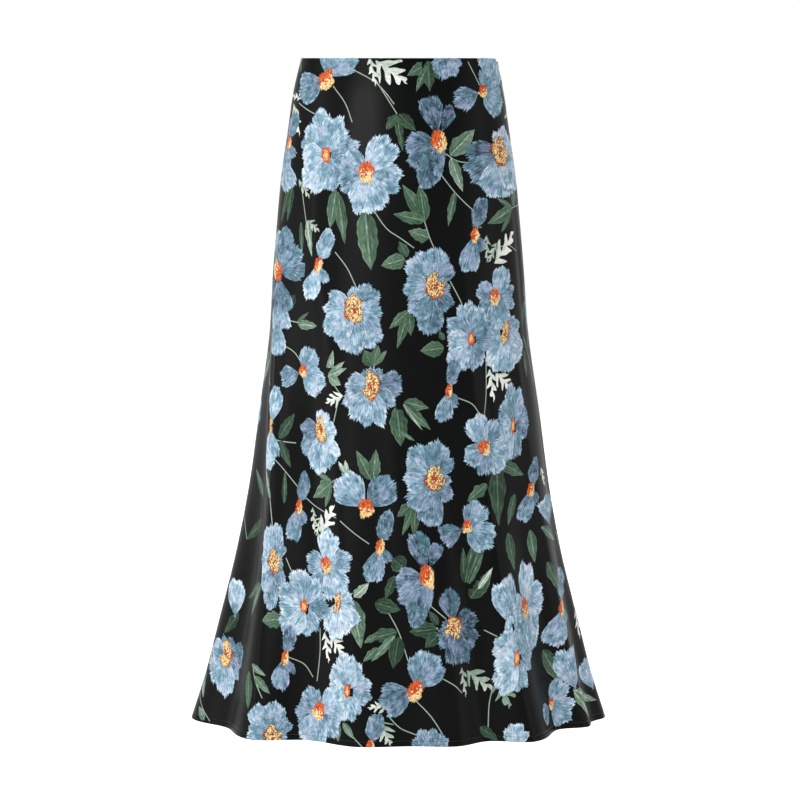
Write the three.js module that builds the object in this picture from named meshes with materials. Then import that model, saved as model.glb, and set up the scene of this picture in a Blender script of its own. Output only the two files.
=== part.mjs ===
// Maxi skirt: a bias-cut flared satin skirt, filled out as if worn, open at waist and hem.
// Millimetres, +Z up. The origin is the middle of the waist edge and the front faces -Y.
// Angles run round the skirt from centre front: +90 is the wearer's left side (+X),
// 180 is centre back and 270 (or -90) is the wearer's right side (-X).
import * as THREE from 'three';

// Driving sizes
const LENGTH = 818; // waist edge to hem, measured straight down
const WALL = 1.2; // satin with its seam allowances, as one wall
const HEM_WALL = 2.0; // the hem is turned twice to the inside
const HEM_TURN = 12; // height of the turned hem
const SEAM_GAP = 0.3; // the two panels' edges stand this far apart
const LEFT_SEAM = 100; // angle of the wearer's left side seam, which holds the zip
const RIGHT_SEAM = 262; // angle of the wearer's right side seam
const PANEL_COLUMNS = 60; // faces across a panel

// Cloth section at each drop below the waist: half its width, and how far its front
// and its back stand from the side-to-side line through the origin
const SECTIONS = [
  { drop: 0, halfWidth: 118.5, front: 84, back: 90 },
  { drop: 40, halfWidth: 128, front: 93, back: 102 },
  { drop: 90, halfWidth: 135.5, front: 100, back: 116 },
  { drop: 140, halfWidth: 143, front: 105, back: 127 },
  { drop: 190, halfWidth: 148, front: 109, back: 134 },
  { drop: 260, halfWidth: 154, front: 113, back: 138 },
  { drop: 340, halfWidth: 160, front: 118, back: 140 },
  { drop: 430, halfWidth: 172, front: 127, back: 145 },
  { drop: 520, halfWidth: 184, front: 137, back: 153 },
  { drop: 610, halfWidth: 201, front: 147, back: 163 },
  { drop: 700, halfWidth: 223, front: 156, back: 174 },
  { drop: 760, halfWidth: 238, front: 161, back: 181 },
  { drop: 818, halfWidth: 256, front: 166, back: 188 },
];

// Hanging folds, in order round the skirt. Each row is a crest (out above 0) or a trough
// (out below 0): its angle where it starts and at the hem, the drop at which it starts, how
// far it stands out at the hem, and how crisp its line is, from 0, round, to 1, creased.
const FOLDS = [
  { start: -101, hem: -93, drop: 300, out: 3, crisp: 0 },
  { start: -86, hem: -65, drop: 260, out: -24, crisp: 0 },
  { start: -77, hem: -43, drop: 290, out: 6, crisp: 0.8 },
  { start: -60, hem: -27, drop: 80, out: -20, crisp: 0 },
  { start: -42, hem: -10, drop: 230, out: 4, crisp: 0.2 },
  { start: -12, hem: 3, drop: 420, out: -3, crisp: 0 },
  { start: 12, hem: 15, drop: 430, out: 4, crisp: 0 },
  { start: 24, hem: 26, drop: 420, out: -15, crisp: 0 },
  { start: 33, hem: 38, drop: 380, out: 9, crisp: 0.7 },
  { start: 52, hem: 58, drop: 380, out: -28, crisp: 0 },
  { start: 68, hem: 71, drop: 470, out: -8, crisp: 0.3 },
  { start: 80, hem: 80, drop: 480, out: -13, crisp: 0 },
  { start: 92, hem: 93, drop: 380, out: 3, crisp: 0 },
  { start: 108, hem: 112, drop: 420, out: -20, crisp: 0 },
  { start: 124, hem: 130, drop: 360, out: 10, crisp: 0.4 },
  { start: 140, hem: 148, drop: 400, out: -18, crisp: 0 },
  { start: 158, hem: 163, drop: 450, out: 5, crisp: 0 },
  { start: 172, hem: 176, drop: 380, out: -14, crisp: 0 },
  { start: 190, hem: 192, drop: 340, out: 10, crisp: 0.5 },
  { start: 206, hem: 212, drop: 430, out: -22, crisp: 0 },
  { start: 222, hem: 229, drop: 400, out: 7, crisp: 0.2 },
  { start: 240, hem: 248, drop: 460, out: -15, crisp: 0 },
];
const FOLD_DRIFT = 0.6; // below 1, a fold's line swings most near its start
const FOLD_ONSET = 0.12; // how gently a fold grows out of the smooth cloth
const CRISP_FADE = 0.8; // share of a fold's crispness that is gone at the hem

// Drops of the rings that the panels are built through
const RING_DROPS = [
  0, 20, 45, 75, 110, 150, 195, 245, 295, 345, 390, 435, 480, 525, 570, 615, 660, 700, 740, 775,
  LENGTH - HEM_TURN - 1,
  LENGTH - HEM_TURN,
  LENGTH,
];

// Concealed zip in the wearer's left side seam
const TAPE_LENGTH = 200; // it ends at the last ring above this drop
const TAPE_WIDTH = 22;
const TAPE_THICK = 0.8;
const TAPE_COLUMNS = 4;
const SLIDER_DROP = 4; // drop of the slider's upper end
const SLIDER_LENGTH = 9;
const SLIDER_HEIGHT = 2.8;
const SLIDER_WIDTH = 2.2;
const SLIDER_SEAT_GAP = 0.3;
const EYE_RADIUS = 0.85; // hole in the slider for the pull's crossbar
const EYE_HEIGHT = 1.5; // height of the hole's middle over the slider's foot
const PULL_THICK = 0.9;
const PULL_NECK_HALF = 2.4; // half the pull's width beside the slider
const PULL_TIP_RADIUS = 3.2;
const PULL_LENGTH = 22; // crossbar to the middle of the round tip
const WINDOW_HALF = 1.5; // half the width of the pull's window, round the slider
const WINDOW_LENGTH = 5.2;

const RADIAN = Math.PI / 180;

// A smooth value between table rows: a Hermite curve with slopes from the neighbours
function tableValue(rows, column, drop) {
  const last = rows.length - 1;
  const low = Math.min(Math.max(rows.findLastIndex((row) => row.drop <= drop), 0), last - 1);
  const slopeAt = (i) => {
    const before = rows[Math.max(i - 1, 0)];
    const after = rows[Math.min(i + 1, last)];
    return (after[column] - before[column]) / (after.drop - before.drop);
  };
  const span = rows[low + 1].drop - rows[low].drop;
  const t = (drop - rows[low].drop) / span;
  const rise = t * t * (3 - 2 * t);
  const value = rows[low][column] * (1 - rise) + rows[low + 1][column] * rise;
  const startPull = span * slopeAt(low) * t * (1 - t) * (1 - t);
  const endPull = span * slopeAt(low + 1) * t * t * (1 - t);
  return value + startPull - endPull;
}

// How far along its length a fold is at this drop, from 0 at its start to 1 at the hem
function foldProgress(fold, drop) {
  return Math.max(0, (drop - fold.drop) / (LENGTH - fold.drop));
}

function foldAngle(fold, drop) {
  return fold.start + (fold.hem - fold.start) * foldProgress(fold, drop) ** FOLD_DRIFT;
}

function foldHeight(fold, drop) {
  const progress = foldProgress(fold, drop);
  return (fold.out * progress * progress * (1 + FOLD_ONSET)) / (progress + FOLD_ONSET);
}

function foldCrispness(fold, drop) {
  return fold.crisp * (1 - CRISP_FADE * foldProgress(fold, drop));
}

// How far the cloth stands out from the plain section at an angle and a drop
function foldOffset(angle, drop) {
  const start = foldAngle(FOLDS[0], drop);
  const turned = start + ((((angle - start) % 360) + 360) % 360);
  const low = FOLDS.findLastIndex((fold) => foldAngle(fold, drop) <= turned);
  const from = FOLDS[low];
  const to = FOLDS[(low + 1) % FOLDS.length];
  const fromAngle = foldAngle(from, drop);
  const toAngle = foldAngle(to, drop) + (low + 1 === FOLDS.length ? 360 : 0);
  const t = (turned - fromAngle) / (toAngle - fromAngle);
  const round = 0.5 - 0.5 * Math.cos(Math.PI * t);
  const crispStart = foldCrispness(from, drop) * (Math.sin((Math.PI / 2) * t) - round);
  const crispEnd = foldCrispness(to, drop) * (1 - Math.cos((Math.PI / 2) * t) - round);
  const share = round + crispStart + crispEnd;
  return foldHeight(from, drop) * (1 - share) + foldHeight(to, drop) * share;
}

// A point of the cloth's outer face
function clothPoint(angle, drop) {
  const turn = angle * RADIAN;
  const halfWidth = tableValue(SECTIONS, 'halfWidth', drop);
  const depth = tableValue(SECTIONS, Math.cos(turn) > 0 ? 'front' : 'back', drop);
  const outward = new THREE.Vector2(Math.sin(turn) / halfWidth, -Math.cos(turn) / depth);
  outward.normalize().multiplyScalar(foldOffset(angle, drop));
  const x = halfWidth * Math.sin(turn) + outward.x;
  const y = -depth * Math.cos(turn) + outward.y;
  return new THREE.Vector3(x, y, -drop);
}

// Unit directions on the cloth: along the section, down the cloth, and out of it
function clothFrame(angle, drop) {
  const step = 0.5;
  const below = Math.min(drop + step, LENGTH);
  const above = Math.max(drop - step, 0);
  const along = clothPoint(angle + step, drop).sub(clothPoint(angle - step, drop));
  const down = clothPoint(angle, below).sub(clothPoint(angle, above)).normalize();
  const perDegree = along.length() / (2 * step);
  const out = down.clone().cross(along).normalize();
  return { along: along.normalize(), down, out, perDegree };
}

function insetPoint(angle, drop, inset) {
  return clothPoint(angle, drop).addScaledVector(clothFrame(angle, drop).out, -inset);
}

// One closed solid from an outer and an inner grid of points with the same rows and columns
function wallGeometry(outer, inner) {
  const rows = outer.length;
  const columns = outer[0].length;
  const positions = [...outer.flat(), ...inner.flat()].flatMap((point) => point.toArray());
  const outerAt = (row, column) => row * columns + column;
  const innerAt = (row, column) => rows * columns + outerAt(row, column);
  const triangles = [];
  const quad = (a, b, c, d) => triangles.push(a, b, c, a, c, d);
  for (let row = 0; row < rows - 1; row += 1) {
    for (let column = 0; column < columns - 1; column += 1) {
      const corners = [[row, column], [row + 1, column], [row + 1, column + 1], [row, column + 1]];
      quad(...corners.map((corner) => outerAt(...corner)));
      quad(...corners.reverse().map((corner) => innerAt(...corner)));
    }
    const end = columns - 1;
    quad(outerAt(row, 0), innerAt(row, 0), innerAt(row + 1, 0), outerAt(row + 1, 0));
    quad(outerAt(row, end), outerAt(row + 1, end), innerAt(row + 1, end), innerAt(row, end));
  }
  const foot = rows - 1;
  for (let column = 0; column < columns - 1; column += 1) {
    quad(outerAt(0, column), outerAt(0, column + 1), innerAt(0, column + 1), innerAt(0, column));
    quad(outerAt(foot, column), innerAt(foot, column), innerAt(foot, column + 1), outerAt(foot, column + 1));
  }
  const geometry = new THREE.BufferGeometry();
  geometry.setAttribute('position', new THREE.Float32BufferAttribute(positions, 3));
  geometry.setIndex(triangles);
  return geometry;
}

// A strip of cloth wall between two angles, each a function of the drop
function stripGeometry(drops, columns, firstAngle, lastAngle, outerInset, innerInset) {
  const grid = (insetAt) => drops.map((drop) => {
    const first = firstAngle(drop);
    const step = (lastAngle(drop) - first) / columns;
    return Array.from({ length: columns + 1 }, (_, i) => insetPoint(first + i * step, drop, insetAt(drop)));
  });
  return wallGeometry(grid(outerInset), grid(innerInset));
}

// The angle that lies a distance in millimetres along the cloth from another
function angleBeside(angle, drop, distance) {
  return angle + distance / clothFrame(angle, drop).perDegree;
}

function panelGeometry(firstSeam, lastSeam) {
  return stripGeometry(
    RING_DROPS,
    PANEL_COLUMNS,
    (drop) => angleBeside(firstSeam, drop, SEAM_GAP / 2),
    (drop) => angleBeside(lastSeam, drop, -SEAM_GAP / 2),
    () => 0,
    (drop) => (drop >= LENGTH - HEM_TURN ? HEM_WALL : WALL),
  );
}

function zipTapeGeometry() {
  return stripGeometry(
    RING_DROPS.filter((drop) => drop <= TAPE_LENGTH),
    TAPE_COLUMNS,
    (drop) => angleBeside(LEFT_SEAM, drop, -TAPE_WIDTH / 2),
    (drop) => angleBeside(LEFT_SEAM, drop, TAPE_WIDTH / 2),
    () => WALL + SEAM_GAP,
    () => WALL + SEAM_GAP + TAPE_THICK,
  );
}

// A low bridge over the seam, drawn from the side: x runs down the cloth, y out of it
function zipSliderGeometry() {
  const side = new THREE.Shape();
  const bevel = 1.2;
  side.moveTo(0, 0);
  side.lineTo(SLIDER_LENGTH, 0);
  side.lineTo(SLIDER_LENGTH, SLIDER_HEIGHT - bevel);
  side.lineTo(SLIDER_LENGTH - bevel, SLIDER_HEIGHT);
  side.lineTo(bevel, SLIDER_HEIGHT);
  side.lineTo(0, SLIDER_HEIGHT - bevel);
  side.closePath();
  const eye = new THREE.Path();
  eye.absarc(SLIDER_LENGTH / 2, EYE_HEIGHT, EYE_RADIUS, 0, 2 * Math.PI, true);
  side.holes.push(eye);
  const options = { depth: SLIDER_WIDTH, bevelEnabled: false, curveSegments: 12 };
  return new THREE.ExtrudeGeometry(side, options).translate(0, 0, -SLIDER_WIDTH / 2);
}

// The pull, drawn flat with its crossbar's middle at the origin: x runs down, y across
function zipPullGeometry() {
  const bar = PULL_THICK / 2;
  const outline = new THREE.Shape();
  outline.moveTo(-bar, -PULL_NECK_HALF);
  outline.lineTo(WINDOW_LENGTH + 2 * bar, -PULL_NECK_HALF);
  outline.absarc(PULL_LENGTH, 0, PULL_TIP_RADIUS, -Math.PI / 2, Math.PI / 2, false);
  outline.lineTo(WINDOW_LENGTH + 2 * bar, PULL_NECK_HALF);
  outline.lineTo(-bar, PULL_NECK_HALF);
  outline.closePath();
  const window = new THREE.Path();
  window.moveTo(bar, -WINDOW_HALF);
  window.lineTo(bar, WINDOW_HALF);
  window.lineTo(bar + WINDOW_LENGTH, WINDOW_HALF);
  window.lineTo(bar + WINDOW_LENGTH, -WINDOW_HALF);
  window.closePath();
  outline.holes.push(window);
  const options = { depth: PULL_THICK, bevelEnabled: false, curveSegments: 12 };
  return new THREE.ExtrudeGeometry(outline, options).translate(0, 0, -PULL_THICK / 2);
}

function finish(color, roughness, metalness) {
  return new THREE.MeshStandardMaterial({ color, roughness, metalness });
}

function part(name, geometry, material) {
  const mesh = new THREE.Mesh(geometry, material);
  mesh.name = name;
  return mesh;
}

// A group whose x, y and z axes lie along three directions at a place on the cloth
function groupAt(place, x, y, z) {
  const group = new THREE.Group();
  group.matrix.makeBasis(x, y, z).setPosition(place);
  group.matrix.decompose(group.position, group.quaternion, group.scale);
  return group;
}

const satin = finish(0x2a3238, 0.35, 0);
const tape = finish(0x141416, 0.8, 0);
const enamel = finish(0x17181a, 0.4, 0.6);

const skirt = new THREE.Group();
skirt.add(part('front_panel', panelGeometry(RIGHT_SEAM - 360, LEFT_SEAM), satin));
skirt.add(part('back_panel', panelGeometry(LEFT_SEAM, RIGHT_SEAM), satin));
skirt.add(part('zip_tape', zipTapeGeometry(), tape));

const seat = clothFrame(LEFT_SEAM, SLIDER_DROP);
const acrossSlider = seat.down.clone().cross(seat.out);
const sliderPlace = clothPoint(LEFT_SEAM, SLIDER_DROP).addScaledVector(seat.out, SLIDER_SEAT_GAP);
const sliderGroup = groupAt(sliderPlace, seat.down, seat.out, acrossSlider);
sliderGroup.add(part('zip_slider', zipSliderGeometry(), enamel));
skirt.add(sliderGroup);

const pullPlace = sliderPlace
  .clone()
  .addScaledVector(seat.down, SLIDER_LENGTH / 2)
  .addScaledVector(seat.out, EYE_HEIGHT);
const pullGroup = groupAt(pullPlace, seat.down, acrossSlider.clone().negate(), seat.out);
pullGroup.add(part('zip_pull', zipPullGeometry(), enamel));
skirt.add(pullGroup);

export default skirt;
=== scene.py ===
"""Maxi skirt: printed satin on a bias-cut flared skirt, filled out as if worn.

The cloth is worked out in millimetres, as in the frame: +Z up, the front faces -Y, and the
origin is the middle of the waist edge. Angles run round the skirt from centre front, +90 at
the wearer's left side, and a drop is a depth below the waist edge.
"""
import math

import bpy
import numpy as np
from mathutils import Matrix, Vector


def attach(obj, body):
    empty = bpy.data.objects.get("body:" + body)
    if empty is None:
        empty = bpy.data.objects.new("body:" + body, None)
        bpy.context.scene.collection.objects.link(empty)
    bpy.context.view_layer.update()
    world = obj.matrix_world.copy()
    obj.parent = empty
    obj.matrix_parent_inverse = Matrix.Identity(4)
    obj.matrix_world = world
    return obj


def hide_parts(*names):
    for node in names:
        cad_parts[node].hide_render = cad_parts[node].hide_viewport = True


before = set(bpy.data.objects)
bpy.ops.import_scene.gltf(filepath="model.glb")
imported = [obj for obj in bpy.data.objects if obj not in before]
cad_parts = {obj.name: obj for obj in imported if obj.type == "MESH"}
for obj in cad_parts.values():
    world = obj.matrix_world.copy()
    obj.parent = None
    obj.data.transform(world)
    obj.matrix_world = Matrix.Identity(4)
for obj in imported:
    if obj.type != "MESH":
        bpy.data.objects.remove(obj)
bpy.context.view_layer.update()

MM = 0.001


def table(columns, rows):
    """Rows of numbers with named columns, so that table(...)["drop"] is a column."""
    return np.array(rows, dtype=[(name, "f8") for name in columns.split()])


# The cloth's form
LENGTH = 818  # waist edge to hem, straight down
LEFT_SEAM = 100  # angle of the wearer's left side seam
RIGHT_SEAM = 262  # angle of the wearer's right side seam
CLOTH_THICK = 0.7
HEM_THICK = 1.7  # the hem is turned twice to the inside
HEM_TURN = 8
EDGE_ROLL = 1.2  # height over which the waist edge and the hem round inwards

SECTIONS = table("drop half_width front back", [
    (0, 118.5, 84, 90),
    (40, 128, 93, 102),
    (90, 135.5, 100, 116),
    (140, 143, 105, 127),
    (190, 148, 109, 134),
    (260, 154, 113, 138),
    (340, 160, 118, 140),
    (430, 172, 127, 145),
    (520, 184, 137, 153),
    (610, 201, 147, 163),
    (700, 223, 156, 174),
    (760, 238, 161, 181),
    (818, 256, 166, 188),
])

# Hanging folds, in order round the skirt: the angle where a fold starts and at the hem, the
# drop where it starts, how far it stands out at the hem, and how crisp its line is
FOLDS = table("start hem drop out crisp", [
    (-101, -93, 300, 3, 0),
    (-86, -65, 260, -24, 0),
    (-77, -43, 290, 6, 0.8),
    (-60, -27, 80, -20, 0),
    (-42, -10, 230, 4, 0.2),
    (-12, 3, 420, -3, 0),
    (12, 15, 430, 4, 0),
    (24, 26, 420, -15, 0),
    (33, 38, 380, 9, 0.7),
    (52, 58, 380, -28, 0),
    (68, 71, 470, -8, 0.3),
    (80, 80, 480, -13, 0),
    (92, 93, 380, 3, 0),
    (108, 112, 420, -20, 0),
    (124, 130, 360, 10, 0.4),
    (140, 148, 400, -18, 0),
    (158, 163, 450, 5, 0),
    (172, 176, 380, -14, 0),
    (190, 192, 340, 10, 0.5),
    (206, 212, 430, -22, 0),
    (222, 229, 400, 7, 0.2),
    (240, 248, 460, -15, 0),
])
FOLD_DRIFT = 0.6  # below 1, a fold turns to its hem angle early
FOLD_ONSET = 0.12  # share of its height over which a fold starts softly
CRISP_FADE = 0.8  # share of its crispness that a fold has lost at the hem

# Soft creases on top of the folds: angle and drop of each end, half its width, and its height,
# above 0 for a ridge and below 0 for a trough
CREASES = table("top_angle top bottom_angle bottom width out", [
    (-80, 250, -62, 560, 9, 1.9),
    (-66, 300, -50, 540, 8, -1.8),
    (-52, 60, -34, 330, 16, 1.3),
    (-30, 190, -14, 520, 14, 1.5),
    (-20, 20, -17, 210, 12, -0.8),
    (-4, 330, 4, 720, 12, 1.3),
    (8, 60, 10, 300, 15, 0.8),
    (17, 380, 21, 640, 9, -1.4),
    (29, 210, 34, 520, 9, 1.9),
    (38, 330, 43, 600, 8, -1.7),
    (46, 40, 50, 280, 14, 1.0),
    (60, 270, 65, 600, 9, 1.6),
    (72, 120, 76, 400, 10, -1.1),
    (88, 300, 90, 640, 10, 1.2),
    (116, 220, 121, 560, 10, 1.6),
    (132, 330, 137, 660, 9, -1.6),
    (151, 60, 153, 330, 15, 1.0),
    (166, 350, 169, 700, 10, 1.6),
    (183, 200, 184, 470, 9, -1.3),
    (198, 330, 202, 650, 9, 1.8),
    (216, 80, 219, 380, 14, 1.1),
    (232, 300, 238, 620, 10, -1.5),
    (252, 240, 256, 560, 9, 1.4),
])
CREASE_TAPER = 1.5  # higher thins a crease more towards its ends


def smooth_value(column, drop):
    """A column of SECTIONS at each drop: a Hermite curve with slopes from the neighbours."""
    drops = SECTIONS["drop"]
    values = SECTIONS[column]
    index = np.arange(len(drops))
    before = np.maximum(index - 1, 0)
    after = np.minimum(index + 1, len(drops) - 1)
    slopes = (values[after] - values[before]) / (drops[after] - drops[before])
    low = np.clip(np.searchsorted(drops, drop, side="right") - 1, 0, len(drops) - 2)
    span = drops[low + 1] - drops[low]
    t = (drop - drops[low]) / span
    share = t * t * (3 - 2 * t)
    value = values[low] * (1 - share) + values[low + 1] * share
    return value + span * (slopes[low] * t * (1 - t) ** 2 - slopes[low + 1] * t * t * (1 - t))


def fold_state(fold, drop):
    """A fold's angle, height and crispness at each drop."""
    progress = np.maximum(0, (drop - fold["drop"]) / (LENGTH - fold["drop"]))
    angle = fold["start"] + (fold["hem"] - fold["start"]) * progress**FOLD_DRIFT
    height = fold["out"] * progress**2 * (1 + FOLD_ONSET) / (progress + FOLD_ONSET)
    return angle, height, fold["crisp"] * (1 - CRISP_FADE * progress)


def fold_offset(angle, drop):
    """How far the hanging folds stand out from the plain section."""
    first = fold_state(FOLDS[0], drop)[0]
    turned = first + np.mod(angle - first, 360)
    offset = np.zeros_like(turned)
    for index, fold in enumerate(FOLDS):
        following = (index + 1) % len(FOLDS)
        from_angle, from_height, from_crisp = fold_state(fold, drop)
        to_angle, to_height, to_crisp = fold_state(FOLDS[following], drop)
        if following == 0:
            to_angle = to_angle + 360
        t = (turned - from_angle) / (to_angle - from_angle)
        round_share = 0.5 - 0.5 * np.cos(np.pi * t)
        share = round_share + from_crisp * (np.sin(np.pi / 2 * t) - round_share)
        share = share + to_crisp * (1 - np.cos(np.pi / 2 * t) - round_share)
        inside = (t >= 0) & (t < 1)
        offset = np.where(inside, from_height * (1 - share) + to_height * share, offset)
    return offset


def crease_offset(angle, drop):
    """How far the soft creases stand out from the folded cloth."""
    per_degree = smooth_value("half_width", drop) * math.pi / 180
    offset = np.zeros_like(angle)
    for crease in CREASES:
        along = (drop - crease["top"]) / (crease["bottom"] - crease["top"])
        swing = crease["bottom_angle"] - crease["top_angle"]
        beside = np.mod(angle - crease["top_angle"] - swing * along + 180, 360) - 180
        fade = np.sin(np.pi * np.clip(along, 0, 1)) ** CREASE_TAPER
        hill = np.exp(-((beside * per_degree / crease["width"]) ** 2))
        offset = offset + crease["out"] * fade * hill
    return offset


def cloth_points(angle, drop):
    """Points of the cloth's outer face in mm, for arrays of angles and drops."""
    turn = np.radians(angle)
    half_width = smooth_value("half_width", drop)
    depth = np.where(np.cos(turn) > 0, smooth_value("front", drop), smooth_value("back", drop))
    out_x = np.sin(turn) / half_width
    out_y = -np.cos(turn) / depth
    offset = (fold_offset(angle, drop) + crease_offset(angle, drop)) / np.hypot(out_x, out_y)
    x = half_width * np.sin(turn) + out_x * offset
    y = -depth * np.cos(turn) + out_y * offset
    return np.stack([x, y, -drop], axis=-1)


def unit(vectors):
    return vectors / np.linalg.norm(vectors, axis=-1, keepdims=True)


def cloth_frame(angle, drop):
    """Unit directions along the section, down the cloth and out of it, and mm per degree."""
    step = 0.5
    along = cloth_points(angle + step, drop) - cloth_points(angle - step, drop)
    below = np.minimum(drop + step, LENGTH)
    above = np.maximum(drop - step, 0)
    down = unit(cloth_points(angle, below) - cloth_points(angle, above))
    per_degree = np.linalg.norm(along, axis=-1) / (2 * step)
    return unit(along), down, unit(np.cross(down, along)), per_degree


# The panels' grids
PANEL_COLUMNS = 224
SEAM_COLUMNS = (0.3, 0.7, 1.2)  # distances of extra columns from each seam, at the waist
LEAST_WIDTH = 300  # of a panel, across the waist
BODY_ROWS = 168
EDGE_ROWS = (0, 0.35, 0.8, 1.4, 2.4, 4)  # distances from the waist edge
HEM_ROWS = (12, 9, 8, 7.2, 6.8, 6.5, 6.2, 5.8, 5, 3.4, 2, 1.2, 0.6, 0)  # heights over the hem
STITCH_HEIGHT = 6.5
STITCH_GROOVE = 0.35
GROOVE_HALF_WIDTH = 0.6
HEM_STEP = 0.5  # height over which the cloth thickens into the turned hem


class Panel:
    """One panel's outer grid, its unit normals, and where each point lies on the flat cloth."""

    def __init__(self, first_seam, last_seam, middle):
        self.seams = (first_seam, last_seam)
        rows = np.linspace(EDGE_ROWS[-1], LENGTH - HEM_ROWS[0], BODY_ROWS)[1:-1]
        drops = np.concatenate([EDGE_ROWS, rows, LENGTH - np.array(HEM_ROWS)])
        near_seam = np.array(SEAM_COLUMNS) / LEAST_WIDTH
        share = np.linspace(0, 1, PANEL_COLUMNS + 1)
        share = np.sort(np.concatenate([share, near_seam, 1 - near_seam]))
        self.drop, share = np.meshgrid(drops, share, indexing="ij")
        self.angle = first_seam * (1 - share) + last_seam * share
        self.points = cloth_points(self.angle, self.drop)
        self.out = cloth_frame(self.angle, self.drop)[2]
        self.across = self.arc_from(middle)
        steps = np.linalg.norm(np.diff(self.points, axis=0), axis=-1)
        self.down = np.vstack([np.zeros(self.drop.shape[1]), np.cumsum(steps, axis=0)])

    def arc_from(self, middle):
        """Distance along each section from the panel's middle line."""
        steps = np.linalg.norm(np.diff(self.points, axis=1), axis=-1)
        arc = np.hstack([np.zeros((len(steps), 1)), np.cumsum(steps, axis=1)])
        column = np.argmin(np.abs(self.angle[0] - middle))
        return arc - arc[:, column : column + 1]

    def outer(self):
        """The outer face, rounded in at the seams, waist edge and hem, with the stitched groove."""
        inset = edge_roll(self.drop) + edge_roll(LENGTH - self.drop)
        inset = inset + edge_roll(self.across - self.across[:, :1])
        inset = np.minimum(inset + edge_roll(self.across[:, -1:] - self.across), CLOTH_THICK / 2)
        groove = np.exp(-(((LENGTH - self.drop - STITCH_HEIGHT) / GROOVE_HALF_WIDTH) ** 2))
        return self.points - self.out * (inset + STITCH_GROOVE * groove)[..., None]

    def inner(self):
        """The inner face, which stands further in where the hem is turned."""
        hem = np.clip((self.drop - LENGTH + HEM_TURN + HEM_STEP) / HEM_STEP, 0, 1)
        thick = CLOTH_THICK + (HEM_THICK - CLOTH_THICK) * hem
        thick = thick - edge_roll(self.drop) - edge_roll(LENGTH - self.drop)
        return self.points - self.out * thick[..., None]


def edge_roll(distance):
    """How far the cloth's face rounds in at a distance from a turned edge."""
    left = np.clip(1 - distance / EDGE_ROLL, 0, 1)
    return CLOTH_THICK / 2 * (1 - np.sqrt(np.clip(1 - left**2, 0, 1)))


front = Panel(RIGHT_SEAM - 360, LEFT_SEAM, 0)
back = Panel(LEFT_SEAM, RIGHT_SEAM, 180)

# The photograph's camera: level with the waist, looking slightly down
IMAGE_SIZE = 800
FOCAL_PIXELS = 3100
MM_PER_PIXEL = 1.2  # on the front of the skirt
CAMERA_DISTANCE = 3800
CAMERA_SIDE = 1.85
WAIST_ABOVE_MIDDLE = 342  # pixels from the waist edge down to the image's middle
TILT = math.atan(WAIST_ABOVE_MIDDLE / FOCAL_PIXELS)


def to_pixels(points):
    """Where points in mm show in the photograph's 800 pixel frame."""
    forward = points[..., 1] + CAMERA_DISTANCE
    drop = -points[..., 2]
    along = forward * math.cos(TILT) + drop * math.sin(TILT)
    below = drop * math.cos(TILT) - forward * math.sin(TILT)
    x = IMAGE_SIZE / 2 + FOCAL_PIXELS * (points[..., 0] - CAMERA_SIDE) / along
    return x, IMAGE_SIZE / 2 + FOCAL_PIXELS * below / along


TURNED_AWAY = 26  # mm of cloth at each side that the photograph shows too narrow to chart
LEAST_FACING = 0.05  # cosine to the view below which cloth doesn't show
EDGE_MARGIN = 7  # close rows at the waist edge, where no slopes are taken
HEM_MARGIN = 16  # and at the hem
FURTHEST_STEP = np.array([14, 1.5])  # rows and columns from the nearest point to a place


class PhotoMap:
    """Finds the place on the flat cloth, in mm, that shows at a pixel of the photograph."""

    def __init__(self, panel):
        self.panel = panel
        self.x, self.y = to_pixels(panel.points)
        view = np.array([CAMERA_SIDE, -CAMERA_DISTANCE, 0]) - panel.points
        self.seen = (unit(view) * panel.out).sum(axis=-1) > LEAST_FACING
        across = np.where(self.seen, panel.across, 0)
        self.first_seen = across.min(axis=1)
        self.last_seen = across.max(axis=1)

    def cloth(self, x, y):
        far = np.where(self.seen, (self.x - x) ** 2 + (self.y - y) ** 2, np.inf)
        row, column = np.unravel_index(np.argmin(far), far.shape)
        row = min(max(row, EDGE_MARGIN), far.shape[0] - HEM_MARGIN)
        column = min(max(column, 1), far.shape[1] - 2)
        shown = np.array([self.slopes(grid, row, column) for grid in (self.x, self.y)])
        miss = np.array([x - self.x[row, column], y - self.y[row, column]])
        step = np.linalg.lstsq(shown, miss, rcond=None)[0]
        step = np.clip(step, -FURTHEST_STEP, FURTHEST_STEP)
        flat = (self.panel.across, self.panel.down)
        return np.array([grid[row, column] + self.slopes(grid, row, column) @ step for grid in flat])

    @staticmethod
    def slopes(grid, row, column):
        """How much a grid's value changes for each row and for each column."""
        by_row = (grid[row + 1, column] - grid[row - 1, column]) / 2
        by_column = (grid[row, column + 1] - grid[row, column - 1]) / 2
        return np.array([by_row, by_column])

    def hides(self, place):
        """Whether a place on the flat cloth lies past what the photograph shows."""
        row = np.argmin(np.abs(self.panel.down[:, 0] - place[1]))
        first, last = self.first_seen[row] + TURNED_AWAY, self.last_seen[row] - TURNED_AWAY
        return place[0] < first or place[0] > last


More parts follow.
